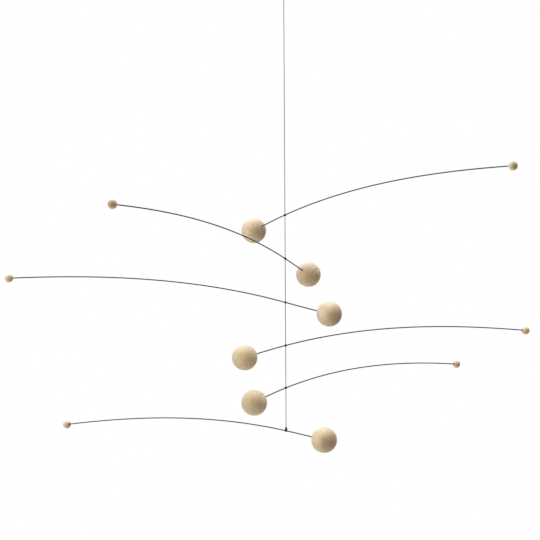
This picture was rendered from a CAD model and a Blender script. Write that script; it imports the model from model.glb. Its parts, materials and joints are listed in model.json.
# The looks of a hanging mobile: six bowed steel arms, each with a large and a small beech ball, tied
# one under the other on one thread. Everything is in metres, with +Z up. The origin is the inside of
# the top of the thread's loop, and every arm turns about the line X = Y = 0.
import json
import math

import bpy
from mathutils import Matrix, Vector
from mathutils.geometry import interpolate_bezier


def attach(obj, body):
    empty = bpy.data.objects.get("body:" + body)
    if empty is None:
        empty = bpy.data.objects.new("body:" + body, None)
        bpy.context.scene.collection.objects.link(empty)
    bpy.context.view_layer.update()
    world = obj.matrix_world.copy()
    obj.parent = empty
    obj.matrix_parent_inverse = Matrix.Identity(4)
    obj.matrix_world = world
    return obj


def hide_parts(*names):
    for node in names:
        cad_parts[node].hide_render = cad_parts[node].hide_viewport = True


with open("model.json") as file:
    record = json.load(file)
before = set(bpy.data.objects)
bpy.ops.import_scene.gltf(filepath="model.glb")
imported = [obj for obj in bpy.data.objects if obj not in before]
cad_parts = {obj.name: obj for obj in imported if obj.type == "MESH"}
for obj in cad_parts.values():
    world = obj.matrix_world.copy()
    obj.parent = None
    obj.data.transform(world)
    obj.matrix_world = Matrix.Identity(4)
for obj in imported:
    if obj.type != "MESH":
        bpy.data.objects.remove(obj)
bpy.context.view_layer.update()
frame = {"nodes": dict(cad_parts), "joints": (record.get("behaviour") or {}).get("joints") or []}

MM = 0.001
BALL_DIAMETER = {"large": 25 * MM, "small": 8.4 * MM}
# How far the wire goes into each ball.
INSERT = {"large": 7 * MM, "small": 3.5 * MM}
WIRE_DIAMETER = 1.15 * MM
THREAD_DIAMETER = 0.74 * MM
TIE_THREAD_DIAMETER = 0.38 * MM

ARMS = range(1, 7)
TIES = {arm: Vector(frame["joints"][arm - 1]["pos_m"]) for arm in ARMS}

# ---------------------------------------------------------------- camera
CAMERA_PLACE = (-0.0151, -1.6791, -0.4393)
CAMERA_PITCH = math.radians(4.92)
CAMERA_ROLL = math.radians(-0.27)
CAMERA_LENS = 113.41
CAMERA_SENSOR = 36


def make_camera():
    data = bpy.data.cameras.new("camera")
    data.lens = CAMERA_LENS
    data.sensor_width = CAMERA_SENSOR
    camera = bpy.data.objects.new("camera", data)
    bpy.context.scene.collection.objects.link(camera)
    level = Matrix.Rotation(math.pi / 2 + CAMERA_PITCH, 4, "X")
    roll = Matrix.Rotation(CAMERA_ROLL, 4, "Z")
    camera.matrix_world = Matrix.Translation(CAMERA_PLACE) @ level @ roll
    bpy.context.scene.camera = camera


# ---------------------------------------------------------------- lines
CURVE_SAMPLES = 48
HELIX_STEPS = 20


def smooth_line(points, gap):
    """A smooth line through points, as points about gap apart."""
    dense = []
    last = len(points) - 1
    for i in range(last):
        here, there = points[i], points[i + 1]
        leave = (there - points[max(i - 1, 0)]) / 6
        arrive = (points[min(i + 2, last)] - here) / 6
        dense += interpolate_bezier(here, here + leave, there - arrive, there, CURVE_SAMPLES)[:-1]
    dense.append(points[last])
    run = [0.0]
    for a, b in zip(dense, dense[1:]):
        run.append(run[-1] + (b - a).length)
    pieces = max(2, round(run[-1] / gap))
    line = []
    i = 0
    for step in range(pieces):
        goal = run[-1] * step / pieces
        while run[i + 1] < goal:
            i += 1
        share = (goal - run[i]) / (run[i + 1] - run[i])
        line.append(dense[i].lerp(dense[i + 1], share))
    return line + [dense[-1]]


def helix(axis, up, turns, start, end, first_angle=0.0):
    """Points round an axis through the origin, which set off at an angle from up. start and end are
    (distance along the axis, radius)."""
    side = axis.cross(up)
    points = []
    steps = round(turns * HELIX_STEPS)
    for i in range(steps + 1):
        share = i / steps
        angle = first_angle + share * turns * 2 * math.pi
        along = start[0] + share * (end[0] - start[0])
        radius = start[1] + share * (end[1] - start[1])
        points.append(axis * along + (up * math.cos(angle) + side * math.sin(angle)) * radius)
    return points


# ---------------------------------------------------------------- meshes
# The height of a tube's end dome, as a share of its radius.
DOME_HEIGHT = 0.45


def piece(name, points, faces, run, material, body, slot, stands_for):
    """A smooth-shaded tube that rides on a body and stands for a CAD node."""
    mesh = bpy.data.meshes.new(name)
    mesh.from_pydata(points, [], faces)
    mesh.validate()
    mesh.shade_smooth()
    attribute = mesh.attributes.new("run", "FLOAT_VECTOR", "POINT")
    attribute.data.foreach_set("vector", [value for place in run for value in place])
    mesh.materials.append(material)
    made = bpy.data.objects.new(name, mesh)
    bpy.context.scene.collection.objects.link(made)
    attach(made, body)
    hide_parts(stands_for)
    return made


def tube(line, sides, radius_at):
    """A tube along a line, closed by low domes, as its points, faces and each point's place in the
    straightened tube in millimetres. radius_at takes the distance along the line and the angle."""
    points, faces, run = [], [], []
    side = (line[1] - line[0]).orthogonal().normalized()
    distance = 0.0
    last = len(line) - 1
    for i, centre in enumerate(line):
        way = (line[min(i + 1, last)] - line[max(i - 1, 0)]).normalized()
        side = (side - way * side.dot(way)).normalized()
        other = way.cross(side)
        if i > 0:
            distance += (centre - line[i - 1]).length
        for j in range(sides):
            angle = 2 * math.pi * j / sides
            radius = radius_at(distance, angle)
            across = side * math.cos(angle) + other * math.sin(angle)
            points.append(centre + across * radius)
            run.append((distance / MM, math.cos(angle) * radius / MM, math.sin(angle) * radius / MM))
    for i in range(last):
        for j in range(sides):
            a, b = i * sides + j, i * sides + (j + 1) % sides
            faces.append((a, b, b + sides, a + sides))
    for ring, way in ((0, line[0] - line[1]), (last, line[last] - line[last - 1])):
        dome = way.normalized() * radius_at(0, 0) * DOME_HEIGHT
        points.append(line[ring] + dome)
        run.append((ring * distance / last / MM, 0, 0))
        for j in range(sides):
            a, b = ring * sides + j, ring * sides + (j + 1) % sides
            faces.append((b, a, len(points) - 1) if ring == 0 else (a, b, len(points) - 1))
    return points, faces, run


def joined(*tubes):
    """Several tubes as one, each with its points, faces and run."""
    points, faces, run = [], [], []
    for more_points, more_faces, more_run in tubes:
        faces += [tuple(corner + len(points) for corner in face) for face in more_faces]
        points += more_points
        run += more_run
    return points, faces, run


# ---------------------------------------------------------------- material nodes
class Nodes:
    """The nodes of a material or of the room. A call adds a node and gives its result."""

    def __init__(self, owner):
        owner.use_nodes = True
        self.owner = owner
        self.tree = owner.node_tree

    def put(self, socket, value):
        if isinstance(value, bpy.types.NodeSocket):
            self.tree.links.new(value, socket)
        else:
            socket.default_value = value

    def add(self, kind, inputs, output=0, **settings):
        node = self.tree.nodes.new(kind)
        for name, value in settings.items():
            setattr(node, name, value)
        for name, value in inputs.items():
            self.put(node.inputs[name], value)
        return node.outputs[output]

    def math(self, operation, a, b=0.0):
        return self.add("ShaderNodeMath", {0: a, 1: b}, operation=operation)

    def vector(self, operation, a, b=(0, 0, 0), output="Vector"):
        return self.add("ShaderNodeVectorMath", {0: a, 1: b}, output, operation=operation)

    def stretched(self, vector, scale):
        return self.vector("MULTIPLY", vector, scale)

    def noise(self, vector, scale, detail=2.0, roughness=0.5, output="Fac"):
        inputs = {"Vector": vector, "Scale": scale, "Detail": detail, "Roughness": roughness}
        return self.add("ShaderNodeTexNoise", inputs, output)

    def ranged(self, value, low, high, to_low=0.0, to_high=1.0, smooth=False):
        kind = "SMOOTHSTEP" if smooth else "LINEAR"
        inputs = {"Value": value, "From Min": low, "From Max": high}
        inputs |= {"To Min": to_low, "To Max": to_high}
        return self.add("ShaderNodeMapRange", inputs, interpolation_type=kind)

    def mix(self, share, a, b):
        node = self.tree.nodes.new("ShaderNodeMix")
        node.data_type = "RGBA"
        self.put(node.inputs["Factor"], share)
        self.put(node.inputs[6], a)
        self.put(node.inputs[7], b)
        return node.outputs[2]

    def bump(self, height, strength, distance):
        inputs = {"Height": height, "Strength": strength, "Distance": distance}
        return self.add("ShaderNodeBump", inputs, "Normal")

    def finish(self, **sockets):
        surface = self.tree.nodes["Principled BSDF"]
        for name, value in sockets.items():
            self.put(surface.inputs[name.replace("_", " ")], value)
        return self.owner


def material_nodes(name):
    return Nodes(bpy.data.materials.new(name))


def colour(red, green, blue):
    """A colour from its 0 to 255 values on a screen."""
    parts = [value / 255 for value in (red, green, blue)]
    linear = [part / 12.92 if part <= 0.04045 else ((part + 0.055) / 1.055) ** 2.4 for part in parts]
    return (*linear, 1.0)


# ---------------------------------------------------------------- thread and tie material
def fibre_material(name, dark, light):
    """Twisted thread: fibres that run round it at a slant, darker and lighter ones side by side."""
    n = material_nodes(name)
    run = n.add("ShaderNodeAttribute", {}, "Vector", attribute_name="run")
    fibres = n.noise(n.stretched(run, (1.2, 9.0, 9.0)), 1.0, 3.0, 0.6)
    patches = n.noise(run, 0.15, 2.0)
    tone = n.math("ADD", n.math("MULTIPLY", fibres, 0.7), n.math("MULTIPLY", patches, 0.3))
    tint = n.mix(n.ranged(tone, 0.35, 0.65), dark, light)
    rough = n.ranged(fibres, 0.3, 0.7, 0.62, 0.82)
    normal = n.bump(fibres, 0.5, 0.06 * MM)
    return n.finish(Base_Color=tint, Roughness=rough, Normal=normal, Specular_IOR_Level=0.25)


# ---------------------------------------------------------------- thread
THREAD_TWIST = 2.6 * MM
THREAD_GROOVE = 0.22
THREAD_PLIES = 3
THREAD_SIDES = 18
THREAD_STEP = 0.33 * MM
THREAD_TO_TIE = 1.0 * MM
THREAD_POINTS = 15
GREY_FIBRES = colour(26, 26, 27), colour(58, 58, 60)

# The top length of thread as (x, z), from the first tie up through the knot and round the loop.
TOP_ROUTE = [
    (0, -0.23835),
    (0, -0.222),
    (0, -0.205),
    (0, -0.188),
    (0, -0.171),
    (0, -0.154),
    (0, -0.137),
    (0, -0.120),
    (0, -0.103),
    (0, -0.086),
    (0, -0.069),
    (0, -0.052),
    (0, -0.036),
    (0, -0.024),
    (0, -0.019),
    (-0.00005, -0.016),
    (-0.0013, -0.0126),
    (-0.0030, -0.0086),
    (-0.0037, -0.0048),
    (-0.0026, -0.0013),
    (0, 0.0003),
    (0.0026, -0.0013),
    (0.0037, -0.0048),
    (0.0032, -0.0086),
    (0.0018, -0.0126),
    (0.0010, -0.0147),
]


def plied(diameter, twist):
    """The outline of a thread of twisted plies."""

    def radius_at(distance, angle):
        turn = 2 * math.pi * distance / twist
        groove = 0.5 - 0.5 * math.cos(THREAD_PLIES * (angle - turn))
        return diameter / 2 * (1 - THREAD_GROOVE * groove)

    return radius_at


def make_thread(number, route, material):
    line = smooth_line(route, THREAD_STEP)
    points, faces, run = tube(line, THREAD_SIDES, plied(THREAD_DIAMETER, THREAD_TWIST))
    name = f"thread_{number}"
    node = f"thread_to_arm_{number}"
    made = piece(name, points, faces, run, material, "hanging_thread", "thread", node)


# The knot that closes the loop: the thread's end wound down round the standing thread.
KNOT_TOP = -15.5 * MM
KNOT_BOTTOM = -18.3 * MM
KNOT_RADIUS = 0.95 * MM
KNOT_TURNS = 4.75
KNOT_TAIL = [Vector((0.3, -1.5, -19.6)) * MM, Vector((0.9, -1.9, -21.2)) * MM]


def make_loop_knot(material):
    end = Vector((TOP_ROUTE[-1][0], 0, TOP_ROUTE[-1][1]))
    up, across = Vector((0, 0, 1)), Vector((1, 0, 0))
    turns = helix(up, across, KNOT_TURNS, (KNOT_TOP, KNOT_RADIUS), (KNOT_BOTTOM, KNOT_RADIUS))
    line = smooth_line([end, *turns, *KNOT_TAIL], THREAD_STEP)
    points, faces, run = tube(line, THREAD_SIDES, plied(THREAD_DIAMETER, THREAD_TWIST))
    name = "loop_knot_turns"
    return piece(name, points, faces, run, material, "hanging_thread", "thread", "loop_knot")


def make_threads():
    grey = fibre_material("grey_thread", *GREY_FIBRES)
    knot = make_loop_knot(grey)
    top_route = [Vector((x, 0, z)) for x, z in TOP_ROUTE]
    top_route[0].z = TIES[1].z + THREAD_TO_TIE
    make_thread(1, top_route, grey)
    for arm in ARMS[:-1]:
        top = TIES[arm].z - THREAD_TO_TIE
        bottom = TIES[arm + 1].z + THREAD_TO_TIE
        drop = (bottom - top) / (THREAD_POINTS - 1)
        route = [Vector((0, 0, top + drop * i)) for i in range(THREAD_POINTS)]
        make_thread(arm + 1, route, grey)


make_camera()
make_threads()

# ---------------------------------------------------------------- beech
# Each ball is turned from another place in the board. outward is the way from the tree's middle
# through the ball and along is the way of the fibres, both as the arm hangs. Lengths are in
# millimetres: pith is how far off the tree's middle was and ring how wide a year's growth is. The
# rest are strengths: of the growth lines, of the ray flecks, and of a brown side that faces brown.
LARGE_BALL_WOOD = [
    {"outward": (-0.60, -0.78, -0.15), "along": (-0.2, 0.0, 1.0), "pith": 40, "ring": 2.2,
     "lines": 0.55, "flecks": 0.2, "brown": (1.0, -1.0, 0.0), "browned": 0.6},
    {"outward": (0.72, -0.69, 0.00), "along": (0.0, 0.1, 1.0), "pith": 45, "ring": 1.9,
     "lines": 0.90, "flecks": 0.2, "brown": (0.0, -1.0, 0.0), "browned": 0.6},
    {"outward": (-0.25, -0.35, -0.90), "along": (0.9, -0.4, -0.1), "pith": 30, "ring": 1.5,
     "lines": 0.75, "flecks": 0.2, "brown": (1.0, -0.5, -0.5), "browned": 1.0},
    {"outward": (0.05, -0.35, 0.94), "along": (1.0, 0.3, 0.0), "pith": 50, "ring": 2.4,
     "lines": 0.25, "flecks": 0.7, "brown": (0.0, -1.0, 0.0), "browned": 0.4},
    {"outward": (0.80, -0.50, 0.33), "along": (-0.3, 0.1, 1.0), "pith": 36, "ring": 2.3,
     "lines": 0.80, "flecks": 0.2, "brown": (0.0, -1.0, 0.0), "browned": 0.5},
    {"outward": (0.00, -0.35, 0.94), "along": (0.5, 0.8, 0.2), "pith": 24, "ring": 1.5,
     "lines": 0.55, "flecks": 0.25, "brown": (1.0, -1.0, -0.5), "browned": 0.9},
]
SMALL_BALL_WOOD = [
    {"outward": (0.60, -0.75, 0.10), "along": (0.1, 0.2, 1.0), "pith": 30, "ring": 2.0,
     "lines": 0.3, "flecks": 0.2, "brown": (0.60, -0.80, 0.00), "browned": 1.0},
    {"outward": (0.50, -0.80, 0.20), "along": (0.2, 0.3, 1.0), "pith": 26, "ring": 2.2,
     "lines": 0.3, "flecks": 0.2, "brown": (0.10, -1.00, 0.00), "browned": 1.0},
    {"outward": (0.20, -0.60, 0.75), "along": (1.0, 0.2, 0.1), "pith": 30, "ring": 1.8,
     "lines": 0.25, "flecks": 0.2, "brown": (0.60, -0.60, -0.20), "browned": 0.5},
    {"outward": (-0.50, -0.60, 0.60), "along": (0.7, 0.2, 0.7), "pith": 24, "ring": 1.9,
     "lines": 0.25, "flecks": 0.2, "brown": (0.50, -0.70, -0.50), "browned": 0.7},
    {"outward": (0.70, -0.60, -0.20), "along": (0.2, 0.2, 1.0), "pith": 35, "ring": 2.0,
     "lines": 0.25, "flecks": 0.2, "brown": (0.60, -0.70, -0.40), "browned": 0.8},
    {"outward": (-0.30, -0.80, 0.50), "along": (1.0, 0.0, 0.4), "pith": 22, "ring": 1.8,
     "lines": 0.25, "flecks": 0.2, "brown": (0.70, -0.60, -0.30), "browned": 0.55},
]

PALE_WOOD = colour(190, 168, 122)
GOLDEN_WOOD = colour(160, 136, 85)
BROWN_WOOD = colour(120, 86, 20)
LINE_WOOD = colour(120, 84, 30)
FLECK_WOOD = colour(110, 74, 36)
BORE_WOOD = colour(64, 38, 18)
TORN_WOOD = colour(96, 60, 30)


def beech_material(name, radius, wood):
    n = material_nodes(name)
    outward = Vector(wood["outward"]).normalized()
    along = Vector(wood["along"])
    along = (along - outward * along.dot(outward)).normalized()
    board = Matrix((outward, along.cross(outward), along)).to_euler()
    place = n.add("ShaderNodeTexCoord", {}, "Object")
    turned = n.add(
        "ShaderNodeMapping",
        {
            "Vector": place,
            "Location": (wood["pith"], 0, 0),
            "Rotation": board,
            "Scale": (1 / MM, 1 / MM, 1 / MM),
        },
    )
    wander = n.noise(turned, 0.09, 2.0, 0.5, "Color")
    wavy = n.vector("ADD", turned, n.stretched(wander, (3.0, 3.0, 1.0)))
    split = n.tree.nodes.new("ShaderNodeSeparateXYZ")
    n.put(split.inputs[0], wavy)
    flat = n.add("ShaderNodeCombineXYZ", {"X": split.outputs["X"], "Y": split.outputs["Y"]})
    out = n.vector("LENGTH", flat, output="Value")
    angle = n.math("ARCTAN2", split.outputs["Y"], split.outputs["X"])
    round_tree = n.math("MULTIPLY", angle, wood["pith"])
    fibre_place = n.add(
        "ShaderNodeCombineXYZ", {"X": out, "Y": round_tree, "Z": split.outputs["Z"]}
    )

    # Growth rings: the wood darkens slowly outwards and breaks off to pale at each ring's end.
    ring = n.math("DIVIDE", out, wood["ring"])
    ring = n.math("ADD", ring, n.math("MULTIPLY", n.noise(fibre_place, 0.12), 1.3))
    share = n.math("FRACT", ring)
    rise = n.ranged(share, 0.25, 0.85, 0.0, 1.0, smooth=True)
    fall = n.ranged(share, 0.88, 1.0, 1.0, 0.0)
    ring_line = n.math("MULTIPLY", rise, fall)
    unequal = n.ranged(n.noise(n.math("FLOOR", ring), 3.7), 0.3, 0.7, 0.4, 1.0)
    ring_line = n.math("MULTIPLY", ring_line, unequal)

    # Rays: ribbons that reach out from the pith, dashes where they meet the surface end on.
    rays = n.noise(n.stretched(fibre_place, (0.14, 3.4, 0.55)), 1.0, 1.0, 0.4)
    ray = n.ranged(rays, 0.60, 0.70, 0.0, 1.0, smooth=True)
    fibres = n.noise(n.stretched(fibre_place, (2.6, 2.6, 0.12)), 1.0, 3.0, 0.6)
    pores = n.noise(n.stretched(fibre_place, (8.0, 8.0, 0.7)), 1.0, 1.0, 0.5)
    pore = n.ranged(pores, 0.66, 0.74, 0.0, 1.0, smooth=True)
    clouds = n.noise(turned, 0.11, 2.0, 0.5)

    # The brown side: wood nearer the tree's dark heart.
    facing = n.vector("DOT_PRODUCT", place, Vector(wood["brown"]).normalized() / radius, "Value")
    facing = n.math("ADD", facing, n.ranged(clouds, 0.3, 0.7, -0.25, 0.25))
    brown = n.ranged(facing, 0.0, 1.1, 0.0, wood["browned"], smooth=True)

    tint = n.mix(n.ranged(clouds, 0.35, 0.65, 0.75, 0.1), PALE_WOOD, GOLDEN_WOOD)
    tint = n.mix(brown, tint, BROWN_WOOD)
    tint = n.mix(n.math("MULTIPLY", ring_line, wood["lines"]), tint, LINE_WOOD)
    tint = n.mix(n.ranged(fibres, 0.45, 0.75, 0.0, 0.14), tint, LINE_WOOD)
    tint = n.mix(n.math("MULTIPLY", ray, 0.6 * wood["flecks"]), tint, FLECK_WOOD)
    tint = n.mix(n.math("MULTIPLY", pore, 0.12), tint, FLECK_WOOD)

    height = n.math("ADD", fibres, n.math("MULTIPLY", pore, -0.6))
    height = n.math("ADD", height, n.math("MULTIPLY", ring_line, 0.5))
    rough = n.ranged(n.math("ADD", n.math("MULTIPLY", fibres, 0.6), ray), 0.2, 1.0, 0.54, 0.68)
    normal = n.bump(height, 0.15, 0.02 * MM)
    return n.finish(
        Base_Color=tint, Roughness=rough, Normal=normal, Specular_IOR_Level=0.8, Coat_Weight=0.7,
        Coat_Roughness=0.6, Sheen_Weight=0.2, Sheen_Roughness=0.8,
    )


def bore_material():
    """The drilled hole's wall, browned by the drill and rough with torn end grain."""
    n = material_nodes("bored_beech")
    place = n.add("ShaderNodeTexCoord", {}, "Object")
    torn = n.noise(place, 2500.0, 3.0, 0.6)
    tint = n.mix(n.ranged(torn, 0.3, 0.7), BORE_WOOD, TORN_WOOD)
    rough = n.ranged(torn, 0.3, 0.7, 0.75, 0.95)
    return n.finish(Base_Color=tint, Roughness=rough, Normal=n.bump(torn, 0.6, 0.05 * MM))


# ---------------------------------------------------------------- balls
BALL_SIDES = {"large": 96, "small": 64}
BALL_BANDS = {"large": 60, "small": 40}
# The bores' radius, the width of their broken edge, and how far they go on past the wire's end.
BORE_RADIUS = {"large": 0.58 * MM, "small": 0.75 * MM}
BORE_EDGE = {"large": 0.12 * MM, "small": 0.25 * MM}
BORE_SPARE = 0.3 * MM


def turned_ball(radius, insert, bore, edge, sides, bands, way):
    """A ball about the origin with a blind bore that faces back along way, the edge of its mouth
    broken. Gives its points, its faces and how many of those are wood outside the bore."""
    mouth = math.asin((bore + edge) / radius)
    outline = []
    for i in range(1, bands + 1):
        angle = math.pi - (math.pi - mouth) * i / bands
        outline.append((radius * math.sin(angle), radius * math.cos(angle)))
    rim = outline[-1][1]
    outline.append((bore + 0.35 * edge, rim - 0.15 * edge))
    outline.append((bore, rim - edge))
    floor = radius - insert - BORE_SPARE
    outline.append((bore, (rim + floor) / 2))
    outline.append((bore, floor))

    turn = Vector((0, 0, 1)).rotation_difference(-way)
    points = [turn @ Vector((0, 0, -radius))]
    for across, height in outline:
        for j in range(sides):
            angle = 2 * math.pi * j / sides
            points.append(turn @ Vector((across * math.cos(angle), across * math.sin(angle), height)))
    points.append(turn @ Vector((0, 0, floor)))
    faces = [(0, 1 + (j + 1) % sides, 1 + j) for j in range(sides)]
    for i in range(len(outline) - 1):
        for j in range(sides):
            a, b = 1 + i * sides + j, 1 + i * sides + (j + 1) % sides
            faces.append((a, b, b + sides, a + sides))
    outside = sides * bands
    ring = 1 + (len(outline) - 1) * sides
    faces += [(ring + j, ring + (j + 1) % sides, len(points) - 1) for j in range(sides)]
    return points, faces, outside


def make_ball(size, arm, tip, way, wood, bore):
    radius = BALL_DIAMETER[size] / 2
    insert = INSERT[size]
    hole = BORE_RADIUS[size], BORE_EDGE[size]
    grid = BALL_SIDES[size], BALL_BANDS[size]
    points, faces, outside = turned_ball(radius, insert, *hole, *grid, way)
    name = f"{size}_ball_{arm}"
    mesh = bpy.data.meshes.new(name)
    mesh.from_pydata(points, [], faces)
    mesh.shade_smooth()
    mesh.materials.append(beech_material(f"beech_{size}_{arm}", radius, wood))
    mesh.materials.append(bore)
    for face in mesh.polygons:
        face.material_index = 0 if face.index < outside else 1
    ball = bpy.data.objects.new(name, mesh)
    bpy.context.scene.collection.objects.link(ball)
    ball.location = tip + way * (radius - insert)
    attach(ball, f"arm_{arm}")
    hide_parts(f"arm_{arm}_{size}_ball")


# ---------------------------------------------------------------- wires
WIRE_SIDES = 16
WIRE_STEP = 2 * MM
RING_SPACE = 3 * MM
DARK_STEEL = colour(16, 16, 17)
WORN_STEEL = colour(44, 43, 42)


def wire_line(arm):
    """The middle line of an arm's CAD wire, from inside the large ball to inside the small one. The
    wire's points lie in rings well apart, so each run of near ones gives one point of the line."""
    places = {v.co.to_tuple(7) for v in frame["nodes"][f"arm_{arm}_wire"].data.vertices}
    far = max(places, key=lambda p: math.hypot(p[0], p[1]))
    outward = Vector((far[0], far[1], 0)).normalized()
    rings = []
    reach = -math.inf
    for place in sorted((Vector(p) for p in places), key=outward.dot):
        if outward.dot(place) > reach + RING_SPACE:
            rings.append([])
        rings[-1].append(place)
        reach = outward.dot(place)
    return [sum(ring, Vector()) / len(ring) for ring in rings]


def steel_material():
    """Spring steel with a dark oxide skin, drawn lines along it and worn lighter in places."""
    n = material_nodes("dark_steel")
    run = n.add("ShaderNodeAttribute", {}, "Vector", attribute_name="run")
    drawn = n.noise(n.stretched(run, (0.25, 14.0, 14.0)), 1.0, 3.0, 0.6)
    worn = n.noise(run, 0.09, 3.0, 0.6)
    tone = n.math("ADD", n.math("MULTIPLY", drawn, 0.5), n.math("MULTIPLY", worn, 0.5))
    tint = n.mix(n.ranged(tone, 0.35, 0.65), DARK_STEEL, WORN_STEEL)
    rough = n.ranged(worn, 0.3, 0.7, 0.38, 0.55)
    normal = n.bump(drawn, 0.3, 0.01 * MM)
    return n.finish(Base_Color=tint, Metallic=0.5, Roughness=rough, Normal=normal)


# ---------------------------------------------------------------- ties
TIE_TURNS = 4.5
TIE_PITCH = 0.4 * MM
TIE_CROSSING = 1.5
CROSSING_START = math.radians(200)
CROSSING_REACH = 0.8
CROSSING_LIFT = 0.8 * TIE_THREAD_DIAMETER
BLACK_FIBRES = colour(5, 5, 6), colour(22, 22, 23)
TIE_TWIST = 1.6 * MM
TIE_STEP = 0.15 * MM
TIE_SIDES = 10
WHIPPING_BOTTOM = 0.9 * MM
WHIPPING_TOP = 3.5 * MM
WHIPPING_FOOT_RADIUS = 1.15 * MM
WHIPPING_HEAD_RADIUS = 0.75 * MM
WHIPPING_TURNS = 6.5
TUCK_ACROSS = 0.2 * MM
TUCK_ABOVE = 0.15 * MM


def tie_turns(tie, way):
    """Black thread wound along the wire and crossed back over its own turns."""
    up = (Vector((0, 0, 1)) - way * way.z).normalized()
    inner = (WIRE_DIAMETER + TIE_THREAD_DIAMETER) / 2
    outer = inner + CROSSING_LIFT
    half = TIE_TURNS * TIE_PITCH / 2
    wound = helix(way, up, TIE_TURNS, (-half, inner), (half, inner))
    over = CROSSING_REACH * half
    crossed = helix(way, up, TIE_CROSSING, (over, outer), (-over, outer), CROSSING_START)
    line = smooth_line([tie + point for point in wound + crossed], TIE_STEP)
    return tube(line, TIE_SIDES, plied(TIE_THREAD_DIAMETER, TIE_TWIST))


def whipping_turns(tie):
    """The thread's end, laid back up and bound to the thread above the lowest wire."""
    foot = (WHIPPING_BOTTOM, WHIPPING_FOOT_RADIUS)
    head = (WHIPPING_TOP, WHIPPING_HEAD_RADIUS)
    turns = helix(Vector((0, 0, 1)), Vector((1, 0, 0)), WHIPPING_TURNS, foot, head)
    tuck = Vector((TUCK_ACROSS, 0, WHIPPING_TOP + TUCK_ABOVE))
    line = smooth_line([tie + point for point in [*turns, tuck]], TIE_STEP)
    return tube(line, TIE_SIDES, plied(TIE_THREAD_DIAMETER, TIE_TWIST))


# ---------------------------------------------------------------- arms
def make_arms():
    steel = steel_material()
    bore = bore_material()
    black = fibre_material("black_thread", *BLACK_FIBRES)
    for arm in ARMS:
        body = f"arm_{arm}"
        rings = wire_line(arm)
        line = smooth_line(rings, WIRE_STEP)
        points, faces, run = tube(line, WIRE_SIDES, lambda distance, angle: WIRE_DIAMETER / 2)
        piece(f"wire_{arm}", points, faces, run, steel, body, "wire", f"arm_{arm}_wire")

        large_way = (rings[0] - rings[1]).normalized()
        small_way = (rings[-1] - rings[-2]).normalized()
        make_ball("large", arm, rings[0], large_way, LARGE_BALL_WOOD[arm - 1], bore)
        make_ball("small", arm, rings[-1], small_way, SMALL_BALL_WOOD[arm - 1], bore)

        near = min(range(len(line)), key=lambda i: (line[i] - TIES[arm]).length)
        way = (line[near + 1] - line[near - 1]).normalized()
        turns = tie_turns(TIES[arm], way)
        if arm == ARMS[-1]:
            turns = joined(turns, whipping_turns(TIES[arm]))
        piece(f"tie_{arm}", *turns, black, body, "tie", f"arm_{arm}_tie")


make_arms()

# ---------------------------------------------------------------- studio
FLOOR_HEIGHT = -1.65
FLOOR_HALF = 1.6
FLOOR_TINTS = colour(186, 186, 186), colour(192, 192, 192)
# The soft lights, which are brighter parts of the room: the way to each, how narrow it is and how
# much it adds to the dim room.
SOFT_LIGHTS = {
    "overhead": ((0.0, 0.0, 1.0), 2.0, 4.0),
    "left": ((-1.0, -0.5, -0.3), 6.0, 3.5),
}
DIM_ROOM = 0.2


def make_floor():
    n = material_nodes("pale_floor")
    place = n.add("ShaderNodeTexCoord", {}, "Object")
    patches = n.noise(place, 0.8, 3.0)
    tint = n.mix(patches, *FLOOR_TINTS)
    material = n.finish(Base_Color=tint, Roughness=0.9)
    mesh = bpy.data.meshes.new("floor")
    corners = [(-1, -1), (1, -1), (1, 1), (-1, 1)]
    points = [(x * FLOOR_HALF, y * FLOOR_HALF, FLOOR_HEIGHT) for x, y in corners]
    mesh.from_pydata(points, [], [(0, 1, 2, 3)])
    mesh.materials.append(material)
    floor = bpy.data.objects.new("floor", mesh)
    bpy.context.scene.collection.objects.link(floor)


def make_room():
    """A dim room with soft lights in it, plain white where the camera sees it."""
    world = bpy.data.worlds.new("room")
    bpy.context.scene.world = world
    n = Nodes(world)
    way = n.add("ShaderNodeTexCoord", {}, "Generated")
    glow = DIM_ROOM
    for place, narrow, strength in SOFT_LIGHTS.values():
        facing = n.vector("DOT_PRODUCT", way, Vector(place).normalized(), output="Value")
        lobe = n.math("POWER", n.math("MAXIMUM", facing, 0.0), narrow)
        glow = n.math("ADD", glow, n.math("MULTIPLY", lobe, strength))
    seen = n.add("ShaderNodeLightPath", {}, "Is Camera Ray")
    white = n.add("ShaderNodeMix", {"Factor": seen, "A": glow, "B": 1.0})
    n.put(n.tree.nodes["Background"].inputs["Color"], (1, 1, 1, 1))
    n.put(n.tree.nodes["Background"].inputs["Strength"], white)


make_floor()
make_room()
bpy.context.scene.view_settings.view_transform = "Standard"
